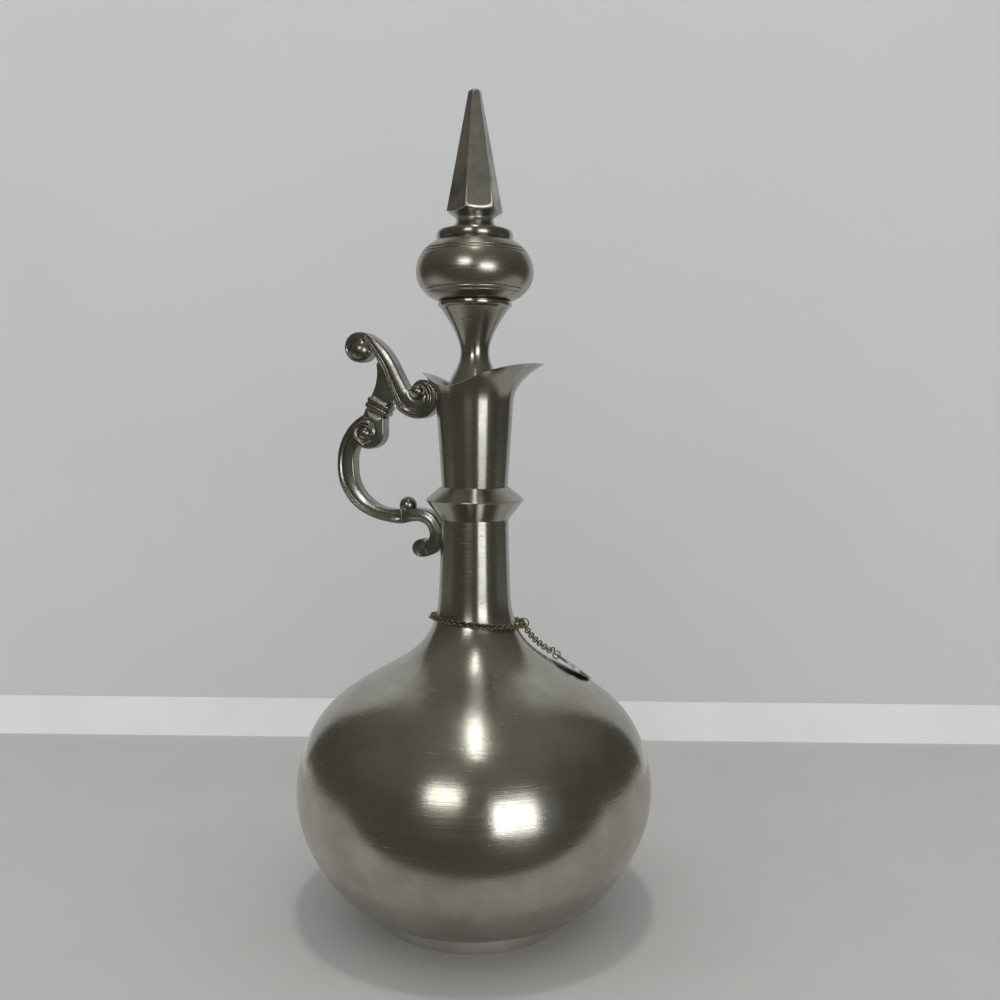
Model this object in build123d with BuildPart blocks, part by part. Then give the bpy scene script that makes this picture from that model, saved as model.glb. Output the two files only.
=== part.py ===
from build123d import *
from math import cos, radians, sin
import os

# Pewter decanter with a lift-out stopper. Millimetres, +Z up.
# The origin is the centre of the foot's underside. The spout points to +X
# and the handle stands on the -X side.

# Vessel shell
wall = 1.6                # spun sheet of the bowl, shoulder and neck
belly_r = 70.1            # widest radius of the body
belly_z = 50.5            # height of that widest line, where the two shells meet
hip_r = 61.1              # lower bowl, halfway down
hip_z = 23.0
bowl_low_r = 49.5         # lower bowl, just above the foot
bowl_low_z = 10.3
shoulder_r = 60.2         # shoulder, where it starts to turn inwards
shoulder_z = 79.1
slope_r = 34.0            # middle of the concave slope
slope_z = 97.8
root_r = 19.5             # foot of the neck
root_z = 109.5
neck_base_r = 15.4        # neck where the shoulder shell ends
neck_base_z = 118.0
neck_mid_r = 13.95
neck_mid_z = 130.0
neck_top_r = 13.1         # neck where it enters the collar

# Foot
foot_r = 39.3
foot_ring_width = 4.6
floor_r = 34.0            # where the bowl's flat floor turns up
floor_z = 3.0             # underside of the floor above the table
foot_slope = 0.54         # rise of the bowl over the foot ring
foot_edge = 0.6           # softened lower edges of the ring

# Collar between neck and mouth
collar_z = 163.0          # joint plane of neck and mouth inside the collar
collar_half = 6.3         # half the collar's height
crease_up = 1.2           # the crease above the joint plane
collar_r = 19.3
collar_edge = 0.4         # softened crease
collar_lip = 0.4          # thickness of the collar's two ends
solder_gap = 0.05         # clearance of every soldered sleeve

# Mouth, heights above the collar's joint plane
mouth_wall = 1.5
mouth_low_r = 12.5        # outer radius of the cone at the joint plane
mouth_taper = 0.0637      # outward slope of the cone
spout_flare_up = 39.0     # where the spout starts to flare
spout_reach = 11.4        # how far the spout stands out of the cone
spout_rise = 14.6         # height over which it does
lip_flare_up = 42.0
lip_reach = 4.6           # the small lip over the handle
lip_rise = 8.0
rim_low_up = 45.2         # lowest point of the rim
rim_spout_up = 53.4       # rim at the spout's tip
rim_lip_up = 49.9         # rim at the back lip

# Stopper, heights above the collar's joint plane
cork_low = 9.0
cork_top = 34.7
cork_fit = 0.08           # running clearance of the cork in the cone
stopper_gap = 0.3         # between the cork's faces and the metal
bell_r = 12.5             # widest radius of the stem inside the mouth
bell_edge = 2.4
stem_low_r = 9.5          # stem where it shows above the rim
stem_low_up = 47.8
stem_waist_r = 5.6
stem_waist_up = 57.0
stem_high_r = 7.9
stem_high_up = 66.4
flange_up = 77.5          # flange's upper face
flange_r = 14.2
flange_thick = 2.0
knob_r = 22.6
knob_tall = 22.6
knob_mid = 10.9           # widest line of the knob above its base
knob_low_r = 13.2
knob_top_r = 15.2
knob_wall = 1.8
groove_r = 0.32           # fine turned grooves round the knob
cap_r = 14.7
cap_rim = 4.0             # height of the cap's rounded rim
cap_tall = 7.4
cap_neck_r = 7.35
spire_r = 10.9            # radius over the pyramid's corners
spire_under = 4.2         # turned underside up to the widest line
spire_tall = 49.5
spire_tip_r = 2.3
spire_edge = 0.35
stud_r = 2.0
stud_fit = 0.05
stud_in_spire = 14.0
washer_r = 8.0
washer_thick = 1.0
nut_flats = 7.0
nut_thick = 3.2

# Handle, points measured outwards from the neck and upwards from the joint plane
scroll_width = 7.0        # depth of the upper scroll across the handle
grip_width = 6.0
handle_edge = 0.8         # softened edges of the castings
corner_round = 1.0        # rounded corners of their outlines
joint_out = 16.8          # where the grip is soldered to the lower scroll
thumb_ball_r = 5.1
thumb_ball_at = (34.8, 59.8)
thumb_curl_r = 6.0
thumb_curl_at = (35.0, 60.9)
eye_ball_r = 2.6
eye_ball_at = (9.7, 43.3)
grip_eye_r = 3.2
grip_eye_at = (32.9, 26.7)
joint_ball_r = 3.5
joint_ball_at = (15.1, -1.9)
tail_ball_r = 3.05
tail_ball_at = (8.8, -18.7)
ferrule_at = (26.55, 38.35)
ferrule_lean = 25.5       # tilt of the ferrule's axis from upright
ferrule_long = 10.9       # across the strap, in the plane of the handle
ferrule_deep = 8.2
ferrule_band = 2.2        # thickness of each of the two rolled bands
ferrule_lip = 0.9         # thin lip above and below them
ferrule_step = 1.0        # how far the bands stand out of the strap
ferrule_corner_r = 2.4

# Chain and tag
link_r = 1.0
link_wire_r = 0.27
link_pitch = 1.38
chain_z = 115.6           # mean height of the loop on the neck
chain_dip = 2.6           # how far the loop tilts
chain_low_at = 59.5       # azimuth of its lowest point
chain_clear = 0.5 
chain_slack = 1.25        # the loop stands off where its tail pulls
tail_start_at = 24.0     # azimuths of the chain's free end
tail_end_at = 31.5
tail_end_z = 100.6
closing_ring_r = 1.95
closing_wire_r = 0.28
hook_wire_r = 0.3
hook_long = 2.3
hook_high = 2.6
hook_half = 1.3
ring_play = 0.05          # play of each link and ring on the next
tag_ring_r = 1.55
tag_ring_wire_r = 0.25
tag_r = 8.6
tag_clear = 0.35          # below the tag's far edge
tag_thick = 0.9
tag_hole_r = 0.8
tag_hole_in = 1.5

os.makedirs("parts", exist_ok=True)


def finish(piece, name):
    piece.part.label = name
    export_step(piece.part, f"parts/{name}.step")


def at_height(curve, height):
    """The place along a rising curve where it reaches a height."""
    low, high = 0.0, 1.0
    for _ in range(40):
        middle = (low + high) / 2
        if (curve @ middle).Y < height:
            low = middle
        else:
            high = middle
    return low


def inside(curve, thickness):
    """Points one wall thickness to the left of a curve."""
    points = []
    for step in range(13):
        place = curve @ (step / 12)
        heading = curve % (step / 12)
        points.append((place.X - thickness * heading.Y, place.Y + thickness * heading.X))
    return points


# Lower bowl: spun sheet with a flat floor that rises over the foot ring.
# In every turned outline x is the radius and y the height.
floor_out = foot_r + 0.4
floor_out_z = floor_z + foot_slope * (floor_out - floor_r)
with BuildPart() as lower_bowl:
    with BuildSketch(Plane.XZ):
        with BuildLine():
            bowl_curve = Spline(
                (floor_out, floor_out_z),
                (bowl_low_r, bowl_low_z),
                (hip_r, hip_z),
                (belly_r, belly_z),
                tangents=[(1, foot_slope * 0.8), (0, 1)],
            )
            inner = inside(bowl_curve, wall)
            Spline(*inner, tangents=[bowl_curve % 0, bowl_curve % 1])
            Line(bowl_curve @ 1, inner[-1])
            Polyline(
                bowl_curve @ 0,
                (floor_r, floor_z),
                (0, floor_z),
                (0, floor_z + wall),
                (floor_r - 0.25 * wall, floor_z + wall),
                inner[0],
            )
        make_face()
    revolve(axis=Axis.Z)
finish(lower_bowl, "lower_bowl")

# Shoulder and neck: one outline, in two pieces that meet under the chain
with BuildPart() as upper_shell:
    with BuildSketch(Plane.XZ):
        with BuildLine():
            shoulder_curve = Spline(
                (belly_r, belly_z),
                (shoulder_r, shoulder_z),
                (slope_r, slope_z),
                (root_r, root_z),
                (neck_base_r, neck_base_z),
                (neck_mid_r, neck_mid_z),
                (neck_top_r, collar_z),
                tangents=[(0, 1), (-0.02, 1)],
            )
            inner = inside(shoulder_curve, wall)
            Spline(*inner, tangents=[shoulder_curve % 0, shoulder_curve % 1])
            Line(shoulder_curve @ 0, inner[0])
            Line(shoulder_curve @ 1, inner[-1])
        make_face()
    revolve(axis=Axis.Z)

with BuildPart() as shoulder_shell:
    add(upper_shell.part)
    split(bisect_by=Plane.XY.offset(neck_base_z), keep=Keep.BOTTOM)
finish(shoulder_shell, "shoulder_shell")

with BuildPart() as neck_tube:
    add(upper_shell.part)
    split(bisect_by=Plane.XY.offset(neck_base_z), keep=Keep.TOP)
finish(neck_tube, "neck_tube")

# The space inside the shoulder and neck, filled, which other pieces are cut to fit
with BuildPart() as neck_core:
    with BuildSketch(Plane.XZ):
        with BuildLine():
            add(shoulder_curve)
            Polyline((neck_top_r, collar_z), (0, collar_z), (0, belly_z), (belly_r, belly_z))
        make_face()
    revolve(axis=Axis.Z)

# Foot: a cast ring soldered under the bowl
ring_in = foot_r - foot_ring_width
with BuildPart() as foot_ring:
    with BuildSketch(Plane.XZ):
        with BuildLine():
            Polyline(
                (ring_in, 0),
                (foot_r, 0),
                (foot_r, floor_z + foot_slope * (foot_r - floor_r)),
                (ring_in, floor_z + foot_slope * (ring_in - floor_r)),
                close=True,
            )
        make_face()
    revolve(axis=Axis.Z)
    fillet(foot_ring.edges().group_by(Axis.Z)[0], foot_edge)
finish(foot_ring, "foot_ring")

# Collar: a turned ring with a sharp crease, sleeved over neck and mouth
collar_low = collar_z - collar_half
collar_high = collar_z + collar_half
mouth_collar_r = mouth_low_r + mouth_taper * collar_half
with BuildPart() as neck_collar:
    with BuildSketch(Plane.XZ):
        with BuildLine():
            Polyline(
                (0, collar_low),
                (neck_top_r + collar_lip, collar_low),
                (collar_r, collar_z + crease_up),
                (mouth_collar_r + collar_lip, collar_high),
                (0, collar_high),
                close=True,
            )
        make_face()
    revolve(axis=Axis.Z)
    crease = neck_collar.edges().filter_by(GeomType.CIRCLE).sort_by(SortBy.RADIUS)[-1]
    fillet(crease, collar_edge)
    add(neck_core.part, mode=Mode.SUBTRACT)
    with Locations((0, 0, collar_z)):
        Cone(
            mouth_low_r + solder_gap,
            mouth_collar_r + solder_gap,
            collar_half,
            align=(Align.CENTER, Align.CENTER, Align.MIN),
            mode=Mode.SUBTRACT,
        )
finish(neck_collar, "neck_collar")


def mouth_radius(angle, up, inset):
    """Radius of the mouth at an angle from the spout and a height above the joint."""
    cone = mouth_low_r + mouth_taper * up
    towards_spout = ((1 + cos(radians(angle))) / 2) ** 2.2
    towards_lip = ((1 - cos(radians(angle))) / 2) ** 2.2
    spout = spout_reach * (max(0, up - spout_flare_up) / spout_rise) ** 2.2
    lip = lip_reach * (max(0, up - lip_flare_up) / lip_rise) ** 1.6
    return cone + spout * towards_spout + lip * towards_lip - inset


def mouth_form(inset, mode):
    """The mouth's filled form from the joint plane to above the rim."""
    flare = rim_spout_up + 2 - spout_flare_up
    heights = [0, spout_flare_up - 1]
    heights += [spout_flare_up + flare * step / 12 for step in range(13)]
    sections = []
    for up in heights:
        with BuildSketch(Plane.XY.offset(collar_z + up)) as section:
            with BuildLine():
                ring = []
                for angle in range(0, 360, 20):
                    radius = mouth_radius(angle, up, inset)
                    ring.append((radius * cos(radians(angle)), radius * sin(radians(angle))))
                Spline(*ring, periodic=True)
            make_face()
        sections.append(section.sketch)
    loft(sections, ruled=True, mode=mode)


# Mouth: a cone that flares into the spout, with a small lip over the handle
with BuildPart() as mouth_core:
    mouth_form(0, Mode.ADD)

rim_fall = rim_lip_up - rim_low_up
rim_climb = rim_spout_up - rim_low_up
with BuildPart() as mouth_spout:
    add(mouth_core.part)
    mouth_form(mouth_wall, Mode.SUBTRACT)
    with BuildSketch(Plane.XZ):
        with BuildLine():
            rim = Spline(
                (-2.4 * mouth_low_r, collar_z + rim_lip_up + 0.8 * rim_fall),
                (-1.52 * mouth_low_r, collar_z + rim_lip_up),
                (-1.03 * mouth_low_r, collar_z + rim_low_up + 0.3 * rim_fall),
                (-0.48 * mouth_low_r, collar_z + rim_low_up),
                (0, collar_z + rim_low_up + 0.13 * rim_climb),
                (0.52 * mouth_low_r, collar_z + rim_low_up + 0.44 * rim_climb),
                (1.32 * mouth_low_r, collar_z + rim_low_up + 0.82 * rim_climb),
                (2 * mouth_low_r, collar_z + rim_spout_up),
                (3 * mouth_low_r, collar_z + rim_spout_up + 0.6),
            )
            Polyline(
                rim @ 1,
                (3 * mouth_low_r, collar_z + 1.5 * rim_spout_up),
                (-2.4 * mouth_low_r, collar_z + 1.5 * rim_spout_up),
                rim @ 0,
            )
        make_face()
    extrude(amount=2 * mouth_low_r, both=True, mode=Mode.SUBTRACT)
finish(mouth_spout, "mouth_spout")


def cone_inside(up):
    return mouth_low_r + mouth_taper * up - mouth_wall


# Stopper: cork on a threaded stud, held by washer and nut
stud_hole = stud_r + stud_fit
with BuildPart() as cork:
    with BuildSketch(Plane.XZ):
        with BuildLine():
            Polyline(
                (stud_hole, collar_z + cork_low),
                (cone_inside(cork_low) - cork_fit, collar_z + cork_low),
                (cone_inside(cork_top) - cork_fit, collar_z + cork_top),
                (stud_hole, collar_z + cork_top),
                close=True,
            )
        make_face()
    revolve(axis=Axis.Z)
finish(cork, "cork")

washer_up = cork_low - stopper_gap - washer_thick
with BuildPart(Plane.XY.offset(collar_z + washer_up)) as cork_washer:
    Cylinder(washer_r, washer_thick, align=(Align.CENTER, Align.CENTER, Align.MIN))
    Cylinder(stud_hole, 3 * washer_thick, mode=Mode.SUBTRACT)
finish(cork_washer, "cork_washer")

nut_up = washer_up - nut_thick
with BuildPart() as stud_nut:
    with BuildSketch(Plane.XY.offset(collar_z + nut_up)):
        RegularPolygon(nut_flats / 2, 6, major_radius=False)
        Circle(stud_hole, mode=Mode.SUBTRACT)
    extrude(amount=nut_thick)
finish(stud_nut, "stud_nut")

cap_up = flange_up + knob_tall
spire_up = cap_up + cap_tall
with BuildPart() as stopper_stud:
    with BuildSketch(Plane.XY.offset(collar_z + nut_up - 1)):
        Circle(stud_r)
    extrude(amount=spire_up + stud_in_spire - nut_up + 1)
    chamfer(stopper_stud.edges(), 0.4)
finish(stopper_stud, "stopper_stud")

# Stem: a turned trumpet with a bell that covers the cork
stem_up = cork_top + stopper_gap
with BuildPart() as stopper_stem:
    with BuildSketch(Plane.XZ):
        with BuildLine():
            Polyline(
                (stud_hole, collar_z + flange_up),
                (stud_hole, collar_z + stem_up),
                (bell_r, collar_z + stem_up),
                (bell_r, collar_z + stem_up + bell_edge),
            )
            trumpet = Spline(
                (bell_r, collar_z + stem_up + bell_edge),
                (stem_low_r, collar_z + stem_low_up),
                (stem_waist_r, collar_z + stem_waist_up),
                (stem_high_r, collar_z + stem_high_up),
                (flange_r - 0.9, collar_z + flange_up - flange_thick - 0.3),
                tangents=[(-0.1, 1), (0.7, 1)],
            )
            Polyline(
                trumpet @ 1,
                (flange_r, collar_z + flange_up - flange_thick),
                (flange_r, collar_z + flange_up - 0.5),
                (flange_r - 0.5, collar_z + flange_up),
                (stud_hole, collar_z + flange_up),
            )
        make_face()
    revolve(axis=Axis.Z)
finish(stopper_stem, "stopper_stem")

# Knob: two spun halves that meet at the widest line, with fine turned grooves
knob_z = collar_z + flange_up
with BuildPart() as knob_lower:
    with BuildSketch(Plane.XZ):
        with BuildLine():
            low_curve = Spline(
                (knob_low_r, knob_z),
                (0.82 * knob_r, knob_z + 0.24 * knob_mid),
                (knob_r, knob_z + knob_mid),
                tangents=[(1, 0.32), (0, 1)],
            )
            inner = inside(low_curve, knob_wall)
            Spline(*inner, tangents=[low_curve % 0, low_curve % 1])
            Line(low_curve @ 1, inner[-1])
            Polyline(
                low_curve @ 0,
                (stud_hole, knob_z),
                (stud_hole, knob_z + knob_wall),
                (knob_low_r - 0.2 * knob_wall, knob_z + knob_wall),
                inner[0],
            )
        make_face()
    revolve(axis=Axis.Z)
    for height in (0.29 * knob_mid, 0.4 * knob_mid):
        place = low_curve @ at_height(low_curve, knob_z + height)
        with Locations((0, 0, place.Y)):
            Torus(place.X + 0.4 * groove_r, groove_r, mode=Mode.SUBTRACT)
finish(knob_lower, "knob_lower")

with BuildPart() as knob_upper:
    with BuildSketch(Plane.XZ):
        with BuildLine():
            top_curve = Spline(
                (knob_r, knob_z + knob_mid),
                (0.89 * knob_r, knob_z + knob_mid + 0.655 * (knob_tall - knob_mid)),
                (knob_top_r, knob_z + knob_tall),
                tangents=[(0, 1), (-1, 0.5)],
            )
            inner = inside(top_curve, knob_wall)
            Spline(*inner, tangents=[top_curve % 0, top_curve % 1])
            Line(top_curve @ 0, inner[0])
            Polyline(
                top_curve @ 1,
                (stud_hole, knob_z + knob_tall),
                (stud_hole, knob_z + knob_tall - knob_wall),
                (knob_top_r - 0.2 * knob_wall, knob_z + knob_tall - knob_wall),
                inner[-1],
            )
        make_face()
    revolve(axis=Axis.Z)
    for height in (0.79 * knob_tall, 0.84 * knob_tall):
        place = top_curve @ at_height(top_curve, knob_z + height)
        with Locations((0, 0, place.Y)):
            Torus(place.X + 0.4 * groove_r, groove_r, mode=Mode.SUBTRACT)
finish(knob_upper, "knob_upper")

# Cap: a turned disc that narrows to the foot of the spire
cap_z = collar_z + cap_up
with BuildPart() as knob_cap:
    with BuildSketch(Plane.XZ):
        with BuildLine():
            Line((stud_hole, cap_z), (0.93 * cap_r, cap_z))
            roll = ThreePointArc(
                (0.93 * cap_r, cap_z), (cap_r, cap_z + cap_rim / 2), (0.93 * cap_r, cap_z + cap_rim)
            )
            cove = Spline(
                roll @ 1, (cap_neck_r, cap_z + cap_tall), tangents=[(-1, 0.12), (-0.25, 1)]
            )
            Polyline(cove @ 1, (stud_hole, cap_z + cap_tall), (stud_hole, cap_z))
        make_face()
    revolve(axis=Axis.Z)
finish(knob_cap, "knob_cap")

# Spire: a hexagonal pyramid, turned underneath, rounded at the tip
spire_z = collar_z + spire_up
spire_taper = (spire_r - spire_tip_r) / (spire_tall - spire_under)
with BuildPart() as spire:
    with BuildSketch(Plane.XY.offset(spire_z)):
        RegularPolygon(spire_r + spire_taper * spire_under, 6, rotation=30)
    with BuildSketch(Plane.XY.offset(spire_z + spire_tall)):
        RegularPolygon(spire_tip_r, 6, rotation=30)
    loft()
    ridges = spire.edges().filter_by(lambda edge: edge.length > spire_tall / 2)
    fillet(ridges, spire_edge)
    with BuildSketch(Plane.XZ):
        with BuildLine():
            Polyline((0, spire_z), (cap_neck_r, spire_z), (0.96 * cap_neck_r, spire_z + 0.25 * spire_under))
            under = Spline(
                (0.96 * cap_neck_r, spire_z + 0.25 * spire_under),
                (1.02 * spire_r, spire_z + spire_under),
                tangents=[(0.6, 1), (1, 0.9)],
            )
            Line(under @ 1, (1.5 * spire_tip_r, spire_z + spire_tall - spire_tip_r))
            Polyline(
                (1.5 * spire_tip_r, spire_z + spire_tall - spire_tip_r),
                (0.95 * spire_tip_r, spire_z + spire_tall - 0.42 * spire_tip_r),
                (0.45 * spire_tip_r, spire_z + spire_tall - 0.12 * spire_tip_r),
                (0, spire_z + spire_tall),
            )
            Line((0, spire_z + spire_tall), (0, spire_z))
        make_face()
    revolve(axis=Axis.Z, mode=Mode.INTERSECT)
    with Locations((0, 0, spire_z)):
        Cylinder(
            stud_hole,
            stud_in_spire + stopper_gap,
            align=(Align.CENTER, Align.CENTER, Align.MIN),
            mode=Mode.SUBTRACT,
        )
finish(spire, "spire")


# Handle: scrolled castings soldered end to end
def on_handle(place):
    """A point given outwards from the neck and upwards from the joint, as x and height."""
    out, up = place
    return (-(neck_top_r + out), collar_z + up)


def in_space(place, across=0):
    x, z = on_handle(place)
    return (x, across, z)


def curve_through(*places):
    return Spline(*[on_handle(place) for place in places])


def straight(*places):
    return Polyline(*[on_handle(place) for place in places])


with BuildPart() as thumb_ball:
    with Locations(in_space(thumb_ball_at)):
        Sphere(thumb_ball_r)
finish(thumb_ball, "thumb_ball")

def soften(casting):
    """Round the corners of a casting's outline, and then the edges of its sides."""
    fillet(casting.edges().filter_by(Axis.Y), corner_round)
    fillet(casting.faces().filter_by(Axis.Y).edges(), handle_edge)


# Upper scroll: from the curl under the thumb down to the curl on the collar
curl_x, curl_z = on_handle(thumb_curl_at)
with BuildPart() as upper_scroll:
    with BuildSketch(Plane.XZ):
        with BuildLine():
            curl = CenterArc((curl_x, curl_z), thumb_curl_r, 90, 260)
            Spline(
                curl @ 1,
                on_handle((27.2, 56.2)),
                on_handle((23.7, 49.3)),
                on_handle((20.3, 42.7)),
                on_handle((18.7, 36.5)),
            )
            curve_through(
                (18.7, 36.5), (14.8, 33.8), (9.8, 32.6), (4.3, 34.4), (1.5, 40.4),
                (3.6, 45.8), (8.3, 47.9), (11.9, 45.4), (12.8, 41.9)
            )
            Spline(
                on_handle((12.8, 41.9)),
                on_handle((16.5, 48.9)),
                on_handle((20.0, 55.5)),
                on_handle((23.6, 60.4)),
                on_handle((30.7, 66.0)),
                curl @ 0,
                tangents=[(-0.45, 1), (-1, 0)],
            )
        make_face()
    extrude(amount=scroll_width / 2, both=True)
    soften(upper_scroll)
    for side in (-1, 1):
        with Locations(in_space(eye_ball_at, side * (scroll_width / 2 - 0.4 * eye_ball_r))):
            Sphere(eye_ball_r)
    add(thumb_ball.part, mode=Mode.SUBTRACT)
    add(mouth_core.part, mode=Mode.SUBTRACT)
finish(upper_scroll, "upper_scroll")

# Ferrule: two rolled bands between thin lips, square to the handle's lean
lean = radians(ferrule_lean)
ferrule_along = Vector(-sin(lean), 0, -cos(lean))
ferrule_across = Vector(cos(lean), 0, -sin(lean))
ferrule_centre = Vector(*in_space(ferrule_at))


def ferrule_plane(along):
    return Plane(origin=ferrule_centre + ferrule_along * along, x_dir=ferrule_across, z_dir=ferrule_along)


def ferrule_corner(along, across):
    corner = ferrule_centre + ferrule_along * along + ferrule_across * across
    return (corner.X, corner.Z)


ferrule_start = -ferrule_band / 2 - ferrule_lip
ferrule_end = 1.5 * ferrule_band + ferrule_lip
with BuildPart() as rolled_band:
    with BuildSketch(ferrule_plane(-ferrule_band / 2)):
        RectangleRounded(ferrule_long, ferrule_deep, ferrule_corner_r)
    extrude(amount=ferrule_band)
    fillet(rolled_band.faces().sort_by(SortBy.AREA)[-2:].edges(), 0.4 * ferrule_band)

with BuildPart() as handle_ferrule:
    with BuildSketch(ferrule_plane(ferrule_start)):
        RectangleRounded(
            ferrule_long - 2 * ferrule_step, ferrule_deep - 2 * ferrule_step, ferrule_corner_r - ferrule_step
        )
    extrude(amount=ferrule_end - ferrule_start)
    add(rolled_band.part)
    with Locations(ferrule_along * ferrule_band):
        add(rolled_band.part)
finish(handle_ferrule, "handle_ferrule")

# Bracket: the short strut from the upper scroll down to the ferrule
strap_half = ferrule_long / 2 - ferrule_step
with BuildPart() as handle_bracket:
    with BuildSketch(Plane.XZ):
        with BuildLine():
            left = ferrule_corner(ferrule_start + corner_round, -strap_half)
            right = ferrule_corner(ferrule_start + corner_round, strap_half)
            back = Spline(on_handle((29.4, 59.2)), on_handle((27.6, 54.6)), on_handle((27.3, 49.6)), left)
            Polyline(left, right, on_handle((19.0, 41.0)), on_handle((24.5, 53.0)), back @ 0)
        make_face()
    extrude(amount=grip_width / 2, both=True)
    soften(handle_bracket)
    split(bisect_by=ferrule_plane(ferrule_start), keep=Keep.BOTTOM)
    add(upper_scroll.part, mode=Mode.SUBTRACT)
    add(thumb_ball.part, mode=Mode.SUBTRACT)
finish(handle_bracket, "handle_bracket")

with BuildPart() as joint_ball:
    with Locations(in_space(joint_ball_at)):
        Sphere(joint_ball_r)
finish(joint_ball, "joint_ball")

with BuildPart() as tail_ball:
    with Locations(in_space(tail_ball_at)):
        Sphere(tail_ball_r)
finish(tail_ball, "tail_ball")

# Grip: the C from the ferrule down to the joint under the ball
joint_plane = Plane.YZ.offset(-(neck_top_r + joint_out))
with BuildPart() as grip_scroll:
    with BuildSketch(Plane.XZ):
        with BuildLine():
            left = ferrule_corner(ferrule_end - corner_round, -strap_half)
            right = ferrule_corner(ferrule_end - corner_round, strap_half)
            Polyline(right, left, on_handle((33.4, 34.0)))
            curve_through(
                (33.4, 34.0), (38.4, 30.6), (42.3, 25.5), (44.6, 19.3), (45.1, 13.6), (44.3, 7.4),
                (41.7, 1.7), (37.3, -3.1), (31.5, -6.4), (25.8, -8.2), (joint_out, -9.2)
            )
            straight((joint_out, -9.2), (joint_out - 3, -9.0), (joint_out - 3, -3.0), (joint_out, -3.0))
            curve_through(
                (joint_out, -3.0), (26.2, -2.7), (31.0, -0.2), (34.8, 3.6), (37.1, 8.4),
                (37.7, 13.7), (37.4, 18.1), (35.6, 22.0)
            )
            Spline(
                on_handle((35.6, 22.0)),
                on_handle((31.8, 20.4)),
                on_handle((27.6, 21.4)),
                on_handle((24.8, 24.6)),
                on_handle((24.3, 29.0)),
                right,
            )
        make_face()
    extrude(amount=grip_width / 2, both=True)
    soften(grip_scroll)
    split(bisect_by=ferrule_plane(ferrule_end), keep=Keep.TOP)
    split(bisect_by=joint_plane, keep=Keep.BOTTOM)
    for side in (-1, 1):
        with Locations(in_space(grip_eye_at, side * (grip_width / 2 - 0.5 * grip_eye_r))):
            Sphere(grip_eye_r)
    add(joint_ball.part, mode=Mode.SUBTRACT)
finish(grip_scroll, "grip_scroll")

# Lower scroll: lies along the neck and curls round the small ball
with BuildPart() as lower_scroll:
    with BuildSketch(Plane.XZ):
        with BuildLine():
            straight((joint_out + 3, -3.0), (joint_out, -3.0))
            curve_through(
                (joint_out, -3.0), (10.6, -2.9), (6.9, -3.4), (3.6, -5.0), (1.2, -8.0), (-0.6, -12.0)
            )
            straight((-0.6, -12.0), (-0.6, -16.5))
            curve_through(
                (-0.6, -16.5), (1.2, -19.4), (4.2, -21.2), (8.0, -22.2), (11.3, -21.4),
                (12.5, -18.7), (11.2, -16.1), (8.6, -15.0), (6.0, -15.8)
            )
            curve_through(
                (6.0, -15.8), (5.1, -12.0), (6.9, -9.1), (10.2, -8.0), (13.5, -8.4), (joint_out, -9.2)
            )
            straight((joint_out, -9.2), (joint_out + 3, -9.4), (joint_out + 3, -3.0))
        make_face()
    extrude(amount=grip_width / 2, both=True)
    soften(lower_scroll)
    split(bisect_by=joint_plane, keep=Keep.TOP)
    add(joint_ball.part, mode=Mode.SUBTRACT)
    add(tail_ball.part, mode=Mode.SUBTRACT)
    add(neck_core.part, mode=Mode.SUBTRACT)
finish(lower_scroll, "lower_scroll")


# Chain: interlocked round links laid on the neck and the shoulder
def seat(azimuth, height, lift):
    """A place above the shoulder, with its downhill, sideways and outward directions."""
    along = at_height(shoulder_curve, height)
    point = shoulder_curve @ along
    rise = shoulder_curve % along
    round_x, round_y = cos(radians(azimuth)), sin(radians(azimuth))
    down = Vector(-rise.X * round_x, -rise.X * round_y, -rise.Y)
    side = Vector(-round_y, round_x, 0)
    out = Vector(rise.Y * round_x, rise.Y * round_y, -rise.X)
    return Vector(point.X * round_x, point.X * round_y, point.Y) + out * lift, down, side, out


def evenly(path, closed):
    """Places and directions along a path, one link pitch apart and even in number."""
    travelled = [0.0]
    for first, second in zip(path, path[1:]):
        travelled.append(travelled[-1] + (second - first).length)
    spare = 0 if closed else 1
    count = 2 * round((travelled[-1] / link_pitch + spare) / 2)
    steps = count - spare
    places = []
    index = 0
    for link in range(count):
        wanted = travelled[-1] * link / steps
        while index < len(path) - 2 and travelled[index + 1] < wanted:
            index += 1
        stride = path[index + 1] - path[index]
        share = (wanted - travelled[index]) / stride.length
        places.append((path[index] + stride * share, stride.normalized()))
    print("links", count, "pitch", round(travelled[-1] / steps, 3))
    return places


def links(places, turn, name):
    """Round links, each turned a quarter from the one before."""
    planes = []
    for index, (point, along) in enumerate(places):
        upright = (point - Vector(0, 0, point.Z)).normalized() + Vector(0, 0, 0.6)
        side = along.cross(upright).normalized()
        out = side.cross(along).normalized()
        angle = radians(turn + 90 * (index % 2))
        planes.append(Plane(origin=point, x_dir=along, z_dir=out * cos(angle) + side * sin(angle)))
    with BuildPart() as piece:
        for plane in planes:
            with Locations(plane):
                Torus(link_r, link_wire_r)
    finish(piece, name)
    return piece


def loop_height(azimuth):
    return chain_z - chain_dip * cos(radians(azimuth - chain_low_at))


def loop_lift(azimuth):
    slack = chain_slack * (1 + cos(radians(azimuth - tail_start_at))) / 2
    return 0.71 * link_r + link_wire_r + chain_clear + slack


loop_path = []
for step in range(181):
    azimuth = tail_start_at + 2 * step + 1
    loop_path.append(seat(azimuth, loop_height(azimuth), loop_lift(azimuth))[0])
links(evenly(loop_path, True), 45, "neck_chain")

ring_height = loop_height(tail_start_at)
ring_lift = loop_lift(tail_start_at)
ring_centre, ring_down, ring_side = seat(tail_start_at, ring_height, ring_lift)[:3]
with BuildPart() as closing_ring:
    with Locations(Plane(origin=ring_centre, x_dir=ring_down, z_dir=ring_side)):
        Torus(closing_ring_r, closing_wire_r)
finish(closing_ring, "closing_ring")

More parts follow.
